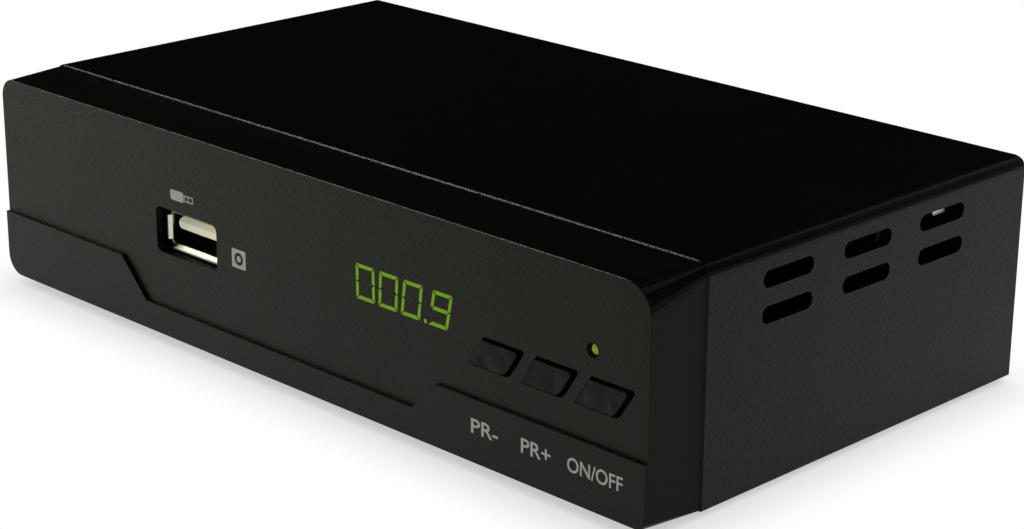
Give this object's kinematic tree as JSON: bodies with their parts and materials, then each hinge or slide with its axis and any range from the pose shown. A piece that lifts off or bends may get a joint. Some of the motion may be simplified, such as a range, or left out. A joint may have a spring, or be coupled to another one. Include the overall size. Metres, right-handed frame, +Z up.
{
  "type": "digital television receiver",
  "caption": "Low black set-top television receiver: smoked front plate with lit digits, stick port and push buttons, slotted sides, aerial and picture sockets at the back.",
  "frame": {"origin": "centre of the box round the whole receiver, on the surface that its feet stand on", "axes": "+X to the right as seen from the front, +Y from the front to the back, +Z up"},
  "size_m": [0.15, 0.0952, 0.0375],
  "materials": {
    "case_plastic": "black ABS with a fine moulded texture",
    "plate_plastic": "smoked dead-front plate with a satin face",
    "button_plastic": "black ABS, satin",
    "lit_segments": "translucent inlay lit green from behind",
    "led_lens": "tinted epoxy lens, lit",
    "chip_epoxy": "moulded epoxy",
    "socket_plastic": "moulded black nylon",
    "board_laminate": "glass laminate under green solder mask",
    "white_nylon": "moulded ivory nylon",
    "ribbon_film": "flat polyester ribbon",
    "aluminium_fins": "extruded and clear anodised",
    "capacitor_sleeve": "shrunk vinyl sleeve",
    "tinned_steel": "tin plated sheet",
    "nickel_plate": "turned and nickel plated",
    "contact_brass": "stamped contact strip",
    "ceramic_parts": "fired chip parts",
    "coax_orange": "moulded nylon in orange",
    "screw_steel": "zinc plated",
    "foot_rubber": "soft moulded rubber"
  },
  "bodies": {
    "case": {"top_cover": "case_plastic", "bottom_tray": "case_plastic", "rear_panel": "case_plastic", "front_bezel": "case_plastic", "front_plate": "plate_plastic", "switch_bodies": "tinned_steel", "display_segments": "lit_segments", "display_module": "chip_epoxy", "status_led": "led_lens", "ir_receiver": "chip_epoxy", "front_board": "board_laminate", "front_connector": "white_nylon", "ribbon_cable": "ribbon_film", "main_connector": "white_nylon", "main_board": "board_laminate", "main_chip": "chip_epoxy", "heat_sink": "aluminium_fins", "memory_chips": "chip_epoxy", "power_chips": "chip_epoxy", "capacitors": "capacitor_sleeve", "chokes": "chip_epoxy", "crystal": "tinned_steel", "small_parts": "ceramic_parts", "tuner_can": "tinned_steel", "tuner_lid": "tinned_steel", "aerial_in_sleeve": "nickel_plate", "aerial_in_insulator": "white_nylon", "aerial_in_contact": "nickel_plate", "aerial_out_sleeve": "nickel_plate", "aerial_out_insulator": "white_nylon", "aerial_out_pin": "nickel_plate", "hdmi_shell": "tinned_steel", "hdmi_tongue": "socket_plastic", "scart_body": "socket_plastic", "scart_contacts": "contact_brass", "coax_body": "coax_orange", "coax_sleeve": "nickel_plate", "coax_contact": "nickel_plate", "inlet_body": "socket_plastic", "inlet_pin": "nickel_plate", "usb_shell": "tinned_steel", "usb_tongue": "white_nylon", "usb_contacts": "contact_brass", "case_screws": "screw_steel", "board_screws": "screw_steel", "front_board_screws": "screw_steel", "rear_screws": "screw_steel", "rubber_feet": "foot_rubber"},
    "ch_down_button": {"button_ch_down": "button_plastic", "plunger_ch_down": "chip_epoxy"},
    "ch_up_button": {"button_ch_up": "button_plastic", "plunger_ch_up": "chip_epoxy"},
    "power_button": {"button_power": "button_plastic", "plunger_power": "chip_epoxy"}
  },
  "joints": [
    {"name": "ch_down_press", "type": "slide", "parent": "case", "child": "ch_down_button", "axis": [0, 1, 0], "range_m": [0, 0.0005], "stiffness_N_per_m": 400},
    {"name": "ch_up_press", "type": "slide", "parent": "case", "child": "ch_up_button", "axis": [0, 1, 0], "range_m": [0, 0.0005], "stiffness_N_per_m": 400},
    {"name": "power_press", "type": "slide", "parent": "case", "child": "power_button", "axis": [0, 1, 0], "range_m": [0, 0.0005], "stiffness_N_per_m": 400}
  ]
}
